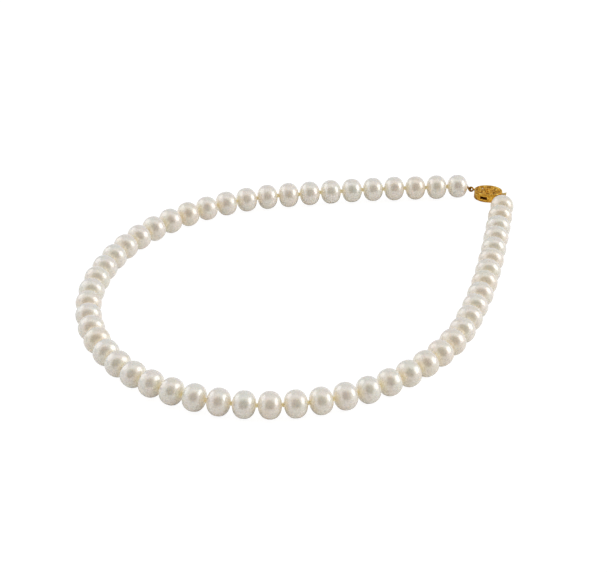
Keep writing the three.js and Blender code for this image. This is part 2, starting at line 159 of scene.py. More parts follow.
def lay_along(direction, middle):
    """The matrix that lays a level piece, made along X round the origin, along a direction."""
    side = Vector((-direction.y, direction.x, 0))
    turn = Matrix((direction, side, Vector((0, 0, 1)))).transposed().to_4x4()
    return Matrix.Translation(middle) @ turn


def along_strand(number):
    """The matrix that puts a pearl between its two knots, with its hole along the thread."""
    direction = (knots[number] - knots[number - 1]).normalized()
    return lay_along(direction, (knots[number] + knots[number - 1]) / 2)


def nacre_material():
    """Polished nacre: a translucent cream body with faint pink and green overtones, fine growth
    lines, a clear outer layer that gives a soft-edged highlight, and a painted glow by the holes."""
    material, tree, shader, place = new_material("nacre")
    tint = add_node(tree, "ShaderNodeAttribute", {}, attribute_name="tint").outputs["Fac"]
    body = add_node(tree, "ShaderNodeValToRGB", {"Fac": tint}, PEARL_TINTS).outputs["Color"]
    patches = add_node(tree, "ShaderNodeTexNoise", {
        "Vector": place, "Scale": 1 / OVERTONE_PATCH, "Detail": 3.0, "Roughness": 0.55})
    overtone = add_node(tree, "ShaderNodeValToRGB", {"Fac": patches.outputs["Fac"]},
                        PEARL_OVERTONES).outputs["Color"]
    mixed = add_node(tree, "ShaderNodeMix", {"Factor": 0.45, "A": body, "B": overtone},
                     data_type="RGBA").outputs["Result"]
    # Painted glow by the drill hole: the nacre is lightened towards cream there and given a faint emission,
    # standing in for light that the next pearl and the silk pass on.
    painted_glow_mask = add_node(tree, "ShaderNodeAttribute", {}, attribute_name="painted_glow_mask").outputs["Fac"]
    painted_glow_share = add_node(tree, "ShaderNodeMath", {0: painted_glow_mask, 1: 0.8}, operation="MULTIPLY")
    warm = add_node(tree, "ShaderNodeMix", {
        "Factor": painted_glow_share.outputs[0], "A": mixed, "B": linear("#f1e7c9")},
        data_type="RGBA").outputs["Result"]
    painted_glow_strength = add_node(tree, "ShaderNodeMath", {0: painted_glow_mask, 1: 0.18}, operation="MULTIPLY")
    growth = add_node(tree, "ShaderNodeTexNoise", {
        "Vector": place, "Scale": 1 / NACRE_GROWTH, "Detail": 4.0, "Roughness": 0.6}).outputs["Fac"]
    dimples = add_node(tree, "ShaderNodeTexNoise", {
        "Vector": place, "Scale": 1 / NACRE_DIMPLE, "Detail": 2.0}).outputs["Fac"]
    satin = add_node(tree, "ShaderNodeMapRange", {
        "Value": growth, "From Min": 0.3, "From Max": 0.7, "To Min": 0.24, "To Max": 0.32})
    fine = add_node(tree, "ShaderNodeBump", {
        "Height": growth, "Strength": 0.03, "Distance": 0.0001})
    broad = add_node(tree, "ShaderNodeBump", {
        "Height": dimples, "Strength": 0.05, "Distance": 0.0004, "Normal": fine.outputs["Normal"]})
    feed(shader, {
        "Base Color": warm, "Metallic": 0.12, "IOR": 2.0, "Roughness": satin.outputs["Result"],
        "Normal": broad.outputs["Normal"], "Subsurface Weight": 0.25,
        "Subsurface Radius": (1.0, 0.85, 0.6), "Subsurface Scale": 0.0014, "Coat Weight": 1.0,
        "Coat Roughness": 0.19, "Coat IOR": 1.9, "Emission Color": warm,
        "Emission Strength": painted_glow_strength.outputs[0]})
    material.cycles.emission_sampling = "NONE"
    return material


def pearl_mesh(number, chance):
    """One drilled pearl, hole along X: a closed outline spun round the hole, then put off round."""
    end = number in (1, PEARL_COUNT)
    grow = 1 + chance.uniform(-SIZE_SPREAD, SIZE_SPREAD)
    radius = (END_PEARL_ACROSS if end else PEARL_ACROSS) / 2 * min(grow, 1.0)
    half = PEARL_LENGTH / 2
    hole = REAMED_RADIUS if end else DRILL_RADIUS
    start = math.asin(((hole + LIP) / radius) ** (1 / FULLNESS))
    mouth = [(-half * 0.25, hole), (-half * 0.9, hole)]
    for i in range(LIP_STEPS + 1):
        angle = math.pi / 2 * i / LIP_STEPS
        mouth.append((-half + LIP * (1 - math.sin(angle)), hole + LIP * (1 - math.cos(angle))))
    dome = []
    for i in range(1, PEARL_RINGS):
        angle = start + (math.pi - 2 * start) * i / PEARL_RINGS
        dome.append((-half * math.copysign(abs(math.cos(angle)) ** FULLNESS, math.cos(angle)),
                     radius * math.sin(angle) ** FULLNESS))
    outline = [*mouth, *dome, *[(-x, r) for x, r in reversed(mouth)]]
    bm = bmesh.new()
    corners = [bm.verts.new((x, 0, r)) for x, r in outline]
    edges = [bm.edges.new((a, b)) for a, b in zip(corners, corners[1:] + corners[:1])]
    bmesh.ops.spin(bm, geom=corners + edges, cent=(0, 0, 0), axis=(1, 0, 0), angle=2 * math.pi,
                   steps=PEARL_SIDES, use_merge=True, use_duplicate=False)
    bmesh.ops.remove_doubles(bm, verts=bm.verts, dist=1e-7)
    drift = Vector([chance.uniform(-50, 50) for _ in range(3)])
    squeeze = chance.uniform(1 - SQUEEZE, 1.0)
    turn = Matrix.Rotation(chance.uniform(0, math.pi), 3, "X")
    for vert in bm.verts:
        off_axis = math.hypot(vert.co.y, vert.co.z)
        if off_axis > hole + LIP * 0.5:
            share = min((off_axis - hole) / (radius * 0.5), 1.0)
            bump = (noise.noise(vert.co / BROAD_SWELLING + drift)
                    + 0.4 * noise.noise(vert.co / SMALL_SWELLING + drift))
            vert.co *= 1 - OFF_ROUND * share * (0.5 + 0.5 * bump)
            spun = turn @ vert.co
            spun.y *= 1 - (1 - squeeze) * share
            vert.co = turn.transposed() @ spun
    # Mask for the painted glow: 1 at the drill hole's wall, fading to 0 a share of the radius out.
    near = bm.verts.layers.float.new("painted_glow_mask")
    for vert in bm.verts:
        off_axis = math.hypot(vert.co.y, vert.co.z) / radius
        vert[near] = max(0.0, 1 - off_axis / PAINTED_GLOW_REACH) ** PAINTED_GLOW_FALL
    return bm


nacre = nacre_material()
chance = random.Random(56)
for number in range(1, PEARL_COUNT + 1):
    bm = pearl_mesh(number, chance)
    tint = bm.verts.layers.float.new("tint")
    value = chance.random()
    for vert in bm.verts:
        vert[tint] = value
    bmesh.ops.transform(bm, matrix=along_strand(number), verts=bm.verts)
    node = pearl_node[number]
    finish_piece(f"nacre_pearl_{number:02d}", bm, nacre, node_body[node], [node])

# ---------------------------------------------------------------------------------------------
# The thread: doubled cream silk through every pearl, with an overhand knot between each pair so
# that they don't rub. At each knot a short length of thread runs into both drill holes.
# ---------------------------------------------------------------------------------------------
KNOT_STRAND_RADIUS = 0.00018
KNOT_RADIUS = 0.00062  # to the middle of the strand
KNOT_HALF_LENGTH = 0.00002
KNOT_POINTS = 42
KNOT_TURN = 1.1  # each knot sits this much further round the thread than the last
STUB_HALF_LENGTH = 0.0012
STUB_STEPS = 6
THREAD_SIDES = 8
SILK_TWIST = 0.000419  # one turn of the twist, drawn coarser than the real 0.2 mm
SILK_COLOURS = [(0.1, "#e2cf98"), (0.5, "#f0e2b6"), (0.9, "#f8efd2")]


def circle_rim(bm, segments, radius, matrix=Matrix(), filled=False):
    """Draws a circle and returns its edges, in order."""
    made = bmesh.ops.create_circle(bm, cap_ends=filled, segments=segments, radius=radius,
                                   matrix=matrix)["verts"]
    return list(dict.fromkeys(edge for vert in made for edge in vert.link_edges))


def extrude_rim(bm, rim, matrix):
    """Extrudes a rim of edges once, moves the new rim by a matrix and returns its edges."""
    grown = bmesh.ops.extrude_edge_only(bm, edges=rim)["geom"]
    bmesh.ops.transform(bm, matrix=matrix,
                        verts=[part for part in grown if isinstance(part, bmesh.types.BMVert)])
    return [part for part in grown if isinstance(part, bmesh.types.BMEdge)]


def sweep_wire(bm, points, radius, sides, closed=False):
    """Sweeps a round section along points by extruding a circle from each one to the next."""
    points = [Vector(point) for point in points]
    count = len(points)
    up = Vector((0, 0, 1))
    for i, point in enumerate(points):
        if closed:
            tangent = (points[(i + 1) % count] - points[i - 1]).normalized()
        else:
            tangent = (points[min(i + 1, count - 1)] - points[max(i - 1, 0)]).normalized()
        if i == 0 and abs(tangent.dot(up)) > 0.9:
            up = Vector((1, 0, 0))
        side = tangent.cross(up).normalized()
        up = side.cross(tangent).normalized()
        place = Matrix.Translation(point) @ Matrix((-up, side, -tangent)).transposed().to_4x4()
        if i == 0:
            rim = first_rim = circle_rim(bm, sides, radius, place, filled=not closed)
        else:
            rim = extrude_rim(bm, rim, place @ last_place.inverted())
        last_place = place
    if closed:
        bmesh.ops.bridge_loops(bm, edges=first_rim + rim)
    else:
        bmesh.ops.edgeloop_fill(bm, edges=rim)


def silk_material():
    """Twisted silk: fine filaments that let light in and have a soft sheen, with no hard glint,
    and a faint painted glow.
    """
    material, tree, shader, place = new_material("twisted_silk")
    twist = add_node(tree, "ShaderNodeTexWave", {
        "Vector": place, "Scale": math.pi / 5 / SILK_TWIST, "Distortion": 3.0, "Detail": 2.0},
        bands_direction="DIAGONAL").outputs["Fac"]
    strands = add_node(tree, "ShaderNodeValToRGB", {"Fac": twist}, SILK_COLOURS).outputs["Color"]
    bump = add_node(tree, "ShaderNodeBump", {"Height": twist, "Strength": 0.5, "Distance": 0.00005})
    # The emission is a painted glow: the silk is made to shine faintly though it is no lamp.
    feed(shader, {
        "Base Color": strands, "Roughness": 0.62, "Normal": bump.outputs["Normal"],
        "Sheen Weight": 0.5, "Sheen Roughness": 0.4, "Subsurface Weight": 0.8,
        "Subsurface Radius": (1.0, 0.85, 0.5), "Subsurface Scale": 0.0010,
        "Emission Color": strands, "Emission Strength": 0.14})
    material.cycles.emission_sampling = "NONE"
    return material


silk = silk_material()
for number in range(1, PEARL_COUNT):
    bm = bmesh.new()
    loop = []
    for i in range(KNOT_POINTS):
        t = 2 * math.pi * i / KNOT_POINTS
        loop.append((
            -math.sin(3 * t) * KNOT_HALF_LENGTH,
            (math.sin(t) + 2 * math.sin(2 * t)) / 3 * KNOT_RADIUS,
            (math.cos(t) - 2 * math.cos(2 * t)) / 3 * KNOT_RADIUS))
    sweep_wire(bm, loop, KNOT_STRAND_RADIUS, THREAD_SIDES, closed=True)
    stub = [(STUB_HALF_LENGTH * (2 * i / STUB_STEPS - 1), 0, 0) for i in range(STUB_STEPS + 1)]
    sweep_wire(bm, stub, THREAD_RADIUS, THREAD_SIDES)
    before, after = along_strand(number), along_strand(number + 1)
    direction = (before.col[0].xyz + after.col[0].xyz).normalized()
    place = lay_along(direction, knots[number]) @ Matrix.Rotation(KNOT_TURN * number, 4, "X")
    bmesh.ops.transform(bm, matrix=place, verts=bm.verts)
    body = node_body[pearl_node[number]]
    finish_piece(f"silk_knot_{number:02d}", bm, silk, body, ["silk_thread"])

# ---------------------------------------------------------------------------------------------
# The gimps: short tubes of close-wound gilt wire over the silk, one looped round the case ring
# and one round the hook ring. Both legs of each loop go into the reamed hole of an end pearl.
# ---------------------------------------------------------------------------------------------
GIMP_RADIUS = 0.00028
GIMP_WIRE_RADIUS = 0.000075
GIMP_WIRE_SIDES = 5
GIMP_WIND = 0.00016  # one turn of the winding
GIMP_WIND_POINTS = 8
GIMP_CORE_RADIUS = 0.00016  # the silk inside, which closes the gaps between the turns
GIMP_CORE_SIDES = 8
GIMP_CORE_EVERY = 6  # points of the winding
GIMP_DEPTH = 0.0012
GIMP_LEVEL_SHARE = 0.15  # of the reach: where the two legs start to close round the ring
LEG_SPACING = 0.0007
LOOP_CLEARANCE = 0.00012
CASE_RING_WIRE = 0.00056
HOOK_RING_WIRE = 0.0006
TARNISH_CLOUD = 0.00143
GILT_SCRATCH = 0.000385  # real scratches are finer; this is as coarse as it needs to show


def smooth_path(points, step):
    """Catmull-Rom through the points, resampled at an even step."""
    points = [Vector(p) for p in points]
    padded = [points[0] * 2 - points[1], *points, points[-1] * 2 - points[-2]]
    fine_steps = 24
    dense = []
    for a, b, c, d in zip(padded, padded[1:], padded[2:], padded[3:]):
        for i in range(fine_steps):
            t = i / fine_steps
            dense.append(0.5 * (2 * b + (c - a) * t + (2 * a - 5 * b + 4 * c - d) * t ** 2
                                + (3 * b - 3 * c + d - a) * t ** 3))
    dense.append(points[-1])
    even, walked, due = [dense[0]], 0.0, step
    for a, b in zip(dense, dense[1:]):
        length = (b - a).length
        while length > 0 and walked + length >= due:
            even.append(a.lerp(b, (due - walked) / length))
            due += step
        walked += length
    return even


def gilt_material(name, light, mid, dark, roughness):
    """Gold plating on brass: warm metal, bright where it is rubbed, browner where tarnish gathers,
    and slightly blurred by fine scratches."""
    material, tree, shader, place = new_material(name)
    cloud = add_node(tree, "ShaderNodeTexNoise", {
        "Vector": place, "Scale": 1 / TARNISH_CLOUD, "Detail": 5.0, "Roughness": 0.6})
    colour = add_node(tree, "ShaderNodeValToRGB", {"Fac": cloud.outputs["Fac"]},
                      [(0.32, dark), (0.5, mid), (0.68, light)])
    scratches = add_node(tree, "ShaderNodeTexNoise", {
        "Vector": place, "Scale": 1 / GILT_SCRATCH, "Detail": 3.0}).outputs["Fac"]
    polish = add_node(tree, "ShaderNodeMapRange", {
        "Value": scratches, "From Min": 0.3, "From Max": 0.7,
        "To Min": roughness * 0.75, "To Max": roughness * 1.3})
    bump = add_node(tree, "ShaderNodeBump", {
        "Height": scratches, "Strength": 0.15, "Distance": 0.00003})
    feed(shader, {
        "Base Color": colour.outputs["Color"], "Metallic": 1.0,
        "Roughness": polish.outputs["Result"], "Normal": bump.outputs["Normal"]})
    return material


def wound_gimp(name, node, link, pearl, inward, wire, body):
    """A helix of fine wire along a level loop, out of a pearl and round the wire of a ring."""
    face = (knots[pearl] + knots[pearl - 1]) / 2 - inward * (PEARL_LENGTH / 2)
    outward = Vector((link.x - face.x, link.y - face.y, 0))
    reach = outward.length
    outward.normalize()
    side = Vector((-outward.y, outward.x, 0))
    half_loop = wire / 2 + LOOP_CLEARANCE + GIMP_RADIUS
    half = [
        (face + inward * GIMP_DEPTH, LEG_SPACING / 2),
        (face, LEG_SPACING / 2),
        (link - outward * (GIMP_LEVEL_SHARE * reach), half_loop),
        (link + outward * (half_loop * math.sqrt(0.5)), half_loop * math.sqrt(0.5))]
    there = [point + side * out for point, out in half]
    back = [point - side * out for point, out in reversed(half)]
    tip = link + outward * half_loop
    middle = smooth_path([*there, tip, *back], GIMP_WIND / GIMP_WIND_POINTS)
    helix = []
    radius = GIMP_RADIUS - GIMP_WIRE_RADIUS
    for i in range(1, len(middle) - 1):
        tangent = (middle[i + 1] - middle[i - 1]).normalized()
        across = tangent.cross(Vector((0, 0, 1))).normalized()
        over = across.cross(tangent)
        angle = 2 * math.pi * i / GIMP_WIND_POINTS
        helix.append(middle[i] + (across * math.cos(angle) + over * math.sin(angle)) * radius)
    bm = bmesh.new()
    sweep_wire(bm, helix, GIMP_WIRE_RADIUS, GIMP_WIRE_SIDES)
    sweep_wire(bm, middle[::GIMP_CORE_EVERY], GIMP_CORE_RADIUS, GIMP_CORE_SIDES)
    finish_piece(name, bm, gimp_gold, body, [node])


# Gilt brass wire, drawn and wound: deep yellow, and dull because light is lost between its turns.
gimp_gold = gilt_material("gilt_gimp_wire", "#d9b460", "#ba8834", "#80551c", 0.38)
joint_at = {j["name"]: Vector(j["pos_m"]) for j in frame["joints"]}
hook_link = joint_at["hook_ring_swing"]
wound_gimp("gimp_coil_case_side", "gimp_case_side", joint_at["case_ring_swing"], 1,
           along_strand(1).col[0].xyz, CASE_RING_WIRE, node_body["gimp_case_side"])
wound_gimp("gimp_coil_hook_side", "gimp_hook_side", hook_link, PEARL_COUNT,
           -along_strand(PEARL_COUNT).col[0].xyz, HOOK_RING_WIRE, node_body["gimp_hook_side"])

# ---------------------------------------------------------------------------------------------
# The case's floor: a flat oval plate stamped from gold-plated brass, with softened edges. It is
# soldered under the side band and closes the clasp from below.
# ---------------------------------------------------------------------------------------------
CASE_LENGTH = 0.0103
CASE_WIDTH = 0.0078
OVAL_STEPS = 96
FLOOR_BEVEL = 0.00012
BEVEL_ANGLE = 0.7  # radians: an edge that turns more than this is rounded

# The clasp's own X runs from the case ring to the mouth, square to the line of the leaf's fold.
press_axis = next(j["axis"] for j in frame["joints"] if j["name"] == "hook_leaf_press")
clasp_x = Vector((press_axis[1], -press_axis[0], 0)).normalized()
base_low, base_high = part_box("case_base")
clasp_middle = Vector(((base_low.x + base_high.x) / 2, (base_low.y + base_high.y) / 2, 0))
in_clasp = lay_along(clasp_x, clasp_middle)
case_body = node_body["case_base"]
# Gold plate on polished brass: rich yellow, with browner clouds of tarnish.
gold = gilt_material("gold_plate", "#f9d56a", "#e0a83c", "#a46c1a", 0.28)


def clasp_piece(name, bm, material, body, replaced, bevel=0.0):
    """Rounds the edges of a piece that was modelled in the clasp's own frame, and finishes it."""
    if bevel:
        bmesh.ops.remove_doubles(bm, verts=bm.verts, dist=1e-7)
        bmesh.ops.recalc_face_normals(bm, faces=bm.faces)
        sharp = [e for e in bm.edges
                 if len(e.link_faces) == 2 and e.calc_face_angle(0) > BEVEL_ANGLE]
        bmesh.ops.bevel(bm, geom=sharp, offset=bevel, segments=3, profile=0.5,
                        affect="EDGES", material=-1, clamp_overlap=True)
    bmesh.ops.transform(bm, matrix=in_clasp, verts=bm.verts)
    finish_piece(name, bm, material, body, replaced)


def oval_rim(bm, length, width, height, filled=False):
    """Draws a level oval round the clasp's middle and returns its edges."""
    stretch = Matrix.Diagonal((length / 2, width / 2, 1, 1))
    return circle_rim(bm, OVAL_STEPS, 1.0, Matrix.Translation((0, 0, height)) @ stretch, filled)


bm = bmesh.new()
rim = oval_rim(bm, CASE_LENGTH, CASE_WIDTH, base_low.z, filled=True)
rim = extrude_rim(bm, rim, Matrix.Translation((0, 0, base_high.z - base_low.z)))
bmesh.ops.edgeloop_fill(bm, edges=rim)
clasp_piece("case_base_plate", bm, gold, case_body, ["case_base"], FLOOR_BEVEL)

# ---------------------------------------------------------------------------------------------
# The case's side band: a strip of gold-plated brass bent to the oval, with a window sawn through
# each long side and the mouth for the hook cut out of one end. It is soldered to the floor.
# ---------------------------------------------------------------------------------------------
BAND_WALL = 0.00045
BAND_BEVEL = 0.00006
BAND_EDGE = 0.0002
MOUTH_HALF_WIDTH = 0.0018
WINDOW_MIDDLE = -0.0013
WINDOW_HALF_LENGTH = 0.00125
WINDOW_HALF_HEIGHT = 0.00055

band_low, band_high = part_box("case_gallery")
top_low, top_high = (corner.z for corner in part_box("case_filigree_top"))
window_height = (band_low.z + band_high.z) / 2
levels = [base_high.z, base_high.z + BAND_EDGE, window_height - WINDOW_HALF_HEIGHT,
          window_height - BAND_EDGE, window_height + BAND_EDGE,
          window_height + WINDOW_HALF_HEIGHT, top_low - BAND_EDGE, top_low]
bm = bmesh.new()
rim = oval_rim(bm, CASE_LENGTH, CASE_WIDTH, levels[0])
for below, above in zip(levels, levels[1:]):
    rim = extrude_rim(bm, rim, Matrix.Translation((0, 0, above - below)))
cut_out = []
for face in bm.faces:
    here = face.calc_center_median()
    in_mouth = here.x > 0 and abs(here.y) < MOUTH_HALF_WIDTH
    in_window = (abs(here.x - WINDOW_MIDDLE) < WINDOW_HALF_LENGTH
                 and abs(here.z - window_height) < WINDOW_HALF_HEIGHT)
    if in_mouth or in_window:
        cut_out.append(face)
bmesh.ops.delete(bm, geom=cut_out, context="FACES")
bmesh.ops.recalc_face_normals(bm, faces=bm.faces)
bmesh.ops.solidify(bm, geom=bm.faces[:], thickness=BAND_WALL)
clasp_piece("case_side_band", bm, gold, case_body, ["case_gallery"], BAND_BEVEL)

# ---------------------------------------------------------------------------------------------
# The pierced top: a flat oval rim with eight petals of bent wire, a curl between each pair, spokes
# to the flower and a ring of small scrolls, gold-plated and soldered wherever they touch.
# ---------------------------------------------------------------------------------------------
RIM_WIDTH = 0.00075
PETAL_COUNT = 8
PETAL_LENGTH = 0.00150
PETAL_WIDTH = 0.00125
PETAL_WIRE_RADIUS = 0.00018
PETAL_LIFT = 0.00006  # a petal's outer end stands higher than its inner end
PETAL_POINTS = 28
PETAL_BEAD_RADIUS = 0.00020
INNER_PETAL = 0.55  # of the petal round it
VEIN_RADIUS = 0.00011
CURL_ACROSS = 0.00068
CURL_WIRE_RADIUS = 0.00013
CURL_INSET = 0.00050  # from the rim's inner edge to the curl's middle
SCROLL_COUNT = 12
SCROLL_OVAL = (0.0042, 0.0030)  # the ring of scrolls round the flower, across its middle line
SCROLL_ACROSS = 0.00072
SCROLL_WIRE_RADIUS = 0.00014
SCROLL_BEAD_RADIUS = 0.00015
HUB_RADIUS = 0.0011  # of the flower, which the spokes run under
SPOKE_STEPS = 8

wire_height = (top_low + top_high) / 2
hole_length, hole_width = CASE_LENGTH - 2 * RIM_WIDTH, CASE_WIDTH - 2 * RIM_WIDTH


def on_oval(turn, length=hole_length, width=hole_width):
    """A point on an oval round the clasp's middle."""
    return Vector((length / 2 * math.cos(turn), width / 2 * math.sin(turn), 0))


def bead(bm, place, radius, height=1.0, segments=16):
    """A grain of gold: a ball, or taller or flatter than one by its height."""
    made = bmesh.ops.create_uvsphere(bm, u_segments=segments, v_segments=segments // 2,
                                     radius=radius)
    bmesh.ops.scale(bm, vec=(1, 1, height), verts=made["verts"])
    bmesh.ops.translate(bm, vec=place, verts=made["verts"])


def wire_loop(bm, middle, length, width, radius, turn=0.0, lift=0.0, points=18, sides=6):
    """A closed loop of wire that lies in the top, turned about its own middle."""
    loop = []
    for k in range(points):
        a = 2 * math.pi * k / points
        spot = Vector((math.cos(a) * length / 2, math.sin(a) * width / 2, lift * math.cos(a)))
        loop.append(middle + Matrix.Rotation(turn, 3, "Z") @ spot)
    sweep_wire(bm, loop, radius, sides, closed=True)


def spoke(bm, direction, length):
    """A straight wire from under the flower outwards, to a distance from the middle."""
    start = direction * HUB_RADIUS * 0.9 + Vector((0, 0, wire_height))
    end = direction * length + Vector((0, 0, wire_height))
    sweep_wire(bm, [start.lerp(end, k / SPOKE_STEPS) for k in range(SPOKE_STEPS + 1)],
               VEIN_RADIUS, 6)


bm = bmesh.new()
# The rim's section, from its outer foot over the top to its inner foot: share of the rim's width
# out from the hole, and height.
rim_section = [(1.0, top_low), (1.0, top_high - 0.0001), (0.85, top_high), (0.3, top_high),
               (0.12, top_high - 0.00008), (0.0, top_high - 0.0002), (0.0, top_low)]
rim_ovals = [(hole_length + 2 * RIM_WIDTH * share, hole_width + 2 * RIM_WIDTH * share, z)
             for share, z in rim_section]
rim = first_rim = oval_rim(bm, *rim_ovals[0])
for (length, width, z), (next_length, next_width, next_z) in zip(rim_ovals, rim_ovals[1:]):
    rim = extrude_rim(bm, rim, Matrix.Translation((0, 0, next_z - z))
                      @ Matrix.Diagonal((next_length / length, next_width / width, 1, 1)))
bmesh.ops.bridge_loops(bm, edges=first_rim + rim)
level = Vector((0, 0, wire_height))
for i in range(PETAL_COUNT):
    out = on_oval(2 * math.pi * (i + 0.5) / PETAL_COUNT)
    turn = math.atan2(out.y, out.x)
    along = max(out.length - PETAL_LENGTH / 2, HUB_RADIUS + PETAL_LENGTH / 2)
    middle = out.normalized() * along + level
    wire_loop(bm, middle, PETAL_LENGTH, PETAL_WIDTH, PETAL_WIRE_RADIUS, turn, PETAL_LIFT,
              PETAL_POINTS, 8)
    spoke(bm, out.normalized(), out.length + 0.0001)
    wire_loop(bm, middle, INNER_PETAL * PETAL_LENGTH, INNER_PETAL * PETAL_WIDTH, VEIN_RADIUS,
              turn, points=PETAL_POINTS)
    bead(bm, middle + Vector((0, 0, 0.00005)), PETAL_BEAD_RADIUS)
    between = on_oval(2 * math.pi * i / PETAL_COUNT)
    wire_loop(bm, between.normalized() * (between.length - CURL_INSET) + level,
              CURL_ACROSS, CURL_ACROSS, CURL_WIRE_RADIUS)
    spoke(bm, between.normalized(), between.length - 0.0008)
for i in range(SCROLL_COUNT):
    spot = on_oval(2 * math.pi * (i + 0.5) / SCROLL_COUNT, *SCROLL_OVAL) + level
    wire_loop(bm, spot, SCROLL_ACROSS, SCROLL_ACROSS, SCROLL_WIRE_RADIUS)
    bead(bm, spot, SCROLL_BEAD_RADIUS)
clasp_piece("case_pierced_top", bm, gold, case_body, ["case_filigree_top"])

# ---------------------------------------------------------------------------------------------
# The flower: a turned disc with a dished middle, a ring of eight grains and a larger grain in the
# centre, all gold-plated. It is soldered on the spokes in the middle of the pierced top.
# ---------------------------------------------------------------------------------------------
FLOWER_STEPS = 40
FLOWER_GRAINS = 8
FLOWER_GRAIN_RADIUS = 0.00027
FLOWER_CENTRE_RADIUS = 0.00042

bm = bmesh.new()
disc_outline = [
    (0.0, top_low + 0.0001), (HUB_RADIUS, top_low + 0.0001), (HUB_RADIUS, top_high - 0.0001),
    (HUB_RADIUS * 0.93, top_high), (HUB_RADIUS * 0.6, top_high + 0.00002),
    (HUB_RADIUS * 0.45, top_high - 0.00012), (0.0, top_high - 0.00012)]
corners = [bm.verts.new((r, 0, z)) for r, z in disc_outline]
edges = [bm.edges.new(pair) for pair in zip(corners, corners[1:])]
bmesh.ops.spin(bm, geom=corners + edges, cent=(0, 0, 0), axis=(0, 0, 1), angle=2 * math.pi,
               steps=FLOWER_STEPS, use_merge=True, use_duplicate=False)
for i in range(FLOWER_GRAINS):
    spot = on_oval(2 * math.pi * i / FLOWER_GRAINS, 1.44 * HUB_RADIUS, 1.44 * HUB_RADIUS)
    bead(bm, spot + Vector((0, 0, top_high + 0.0001)), FLOWER_GRAIN_RADIUS)
bead(bm, Vector((0, 0, top_high + 0.00012)), FLOWER_CENTRE_RADIUS, 1.1, 20)
clasp_piece("case_flower", bm, gold, case_body, ["case_rosette"])

# ---------------------------------------------------------------------------------------------
# The catch bar: a round pin across the case just under the top, cut from wire and soldered to the
# side band at both ends. The hook's barb locks behind it.
# ---------------------------------------------------------------------------------------------
BAR_SIDES = 20
BAR_BEVEL = 0.00004

# The same plate where polish doesn't reach: browner, with a wider and weaker glint.
dark_gold = gilt_material("gold_plate_recess", "#d0a044", "#a57426", "#6a430f", 0.34)
bar_low, bar_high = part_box("case_catch_bar")
bar_middle = in_clasp.inverted() @ ((bar_low + bar_high) / 2)
bar_radius = (bar_high.z - bar_low.z) / 2
inside = 1 - (bar_middle.x / (CASE_LENGTH / 2 - BAND_WALL)) ** 2
bar_length = 2 * (CASE_WIDTH / 2 - BAND_WALL) * math.sqrt(inside)
bm = bmesh.new()
bmesh.ops.create_cone(
    bm, cap_ends=True, segments=BAR_SIDES, radius1=bar_radius, radius2=bar_radius, depth=bar_length,
    matrix=Matrix.Translation(bar_middle) @ Matrix.Rotation(math.pi / 2, 4, "X"))
clasp_piece("case_pin", bm, dark_gold, case_body, ["case_catch_bar"], BAR_BEVEL)

# ---------------------------------------------------------------------------------------------
# The case ring: a ring of stout round wire that stands upright at the closed end of the case, on a
# drop of solder. One gimp hangs in it. It is duller than the case, where polish doesn't reach.
# ---------------------------------------------------------------------------------------------
CASE_RING_STOUTER = 0.00012  # its wire is this much thicker than the solid's, all inwards
RING_POINTS = 40
RING_SIDES = 12
CASE_RING_SOLDER = 0.00036


def upright_ring(middle, across, wire, turn):
    """A round wire ring that stands upright, across its wire's middle line."""
    bm = bmesh.new()
    circle = []
    for i in range(RING_POINTS):
        a = 2 * math.pi * i / RING_POINTS
        circle.append((math.cos(a) * across / 2, 0, math.sin(a) * across / 2))
    sweep_wire(bm, circle, wire / 2, RING_SIDES, closed=True)
    bmesh.ops.transform(bm, matrix=Matrix.Translation(middle) @ Matrix.Rotation(turn, 4, "Z"),
                        verts=bm.verts)
    return bm


low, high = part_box("case_end_ring")
ring_middle = in_clasp.inverted() @ ((low + high) / 2)
ring_across = (high.z - low.z) - CASE_RING_WIRE
bm = upright_ring(ring_middle, ring_across - CASE_RING_STOUTER,
                  CASE_RING_WIRE + CASE_RING_STOUTER, 0.0)
bead(bm, Vector((-CASE_LENGTH / 2 - 0.0001, 0, ring_middle.z)), CASE_RING_SOLDER)
clasp_piece("case_ring", bm, dark_gold, case_body, ["case_end_ring"])

# ---------------------------------------------------------------------------------------------
# The hook's lower strip: flat gold-plated strip that slides on the floor of the case, folded up
# and over at its inner end, where it carries the leaf.
# ---------------------------------------------------------------------------------------------
STRIP_WIDTH = 0.0024
STRIP_THICKNESS = 0.00035
STRIP_BEVEL = 0.00008
FOLD_STEPS = 12
FOLD_OVERLAP = 0.00003  # how far the strip stops short of the leaf that continues it


def box_in_clasp(node):
    """A node's lowest and highest corners in the clasp's own frame."""
    spots = [in_clasp.inverted() @ v.co for v in frame["nodes"][node].data.vertices]
    return [Vector([pick(s[i] for s in spots) for i in range(3)]) for pick in (min, max)]


def bent_strip(outline):
    """A strip of even width, made by drawing its edge (x, z) and extruding it sideways."""
    bm = bmesh.new()
    edge = bm.faces.new([bm.verts.new((x, -STRIP_WIDTH / 2, z)) for x, z in outline])
    grown = bmesh.ops.extrude_face_region(bm, geom=[edge])["geom"]
    bmesh.ops.translate(bm, vec=(0, STRIP_WIDTH, 0),
                        verts=[part for part in grown if isinstance(part, bmesh.types.BMVert)])
    return bm


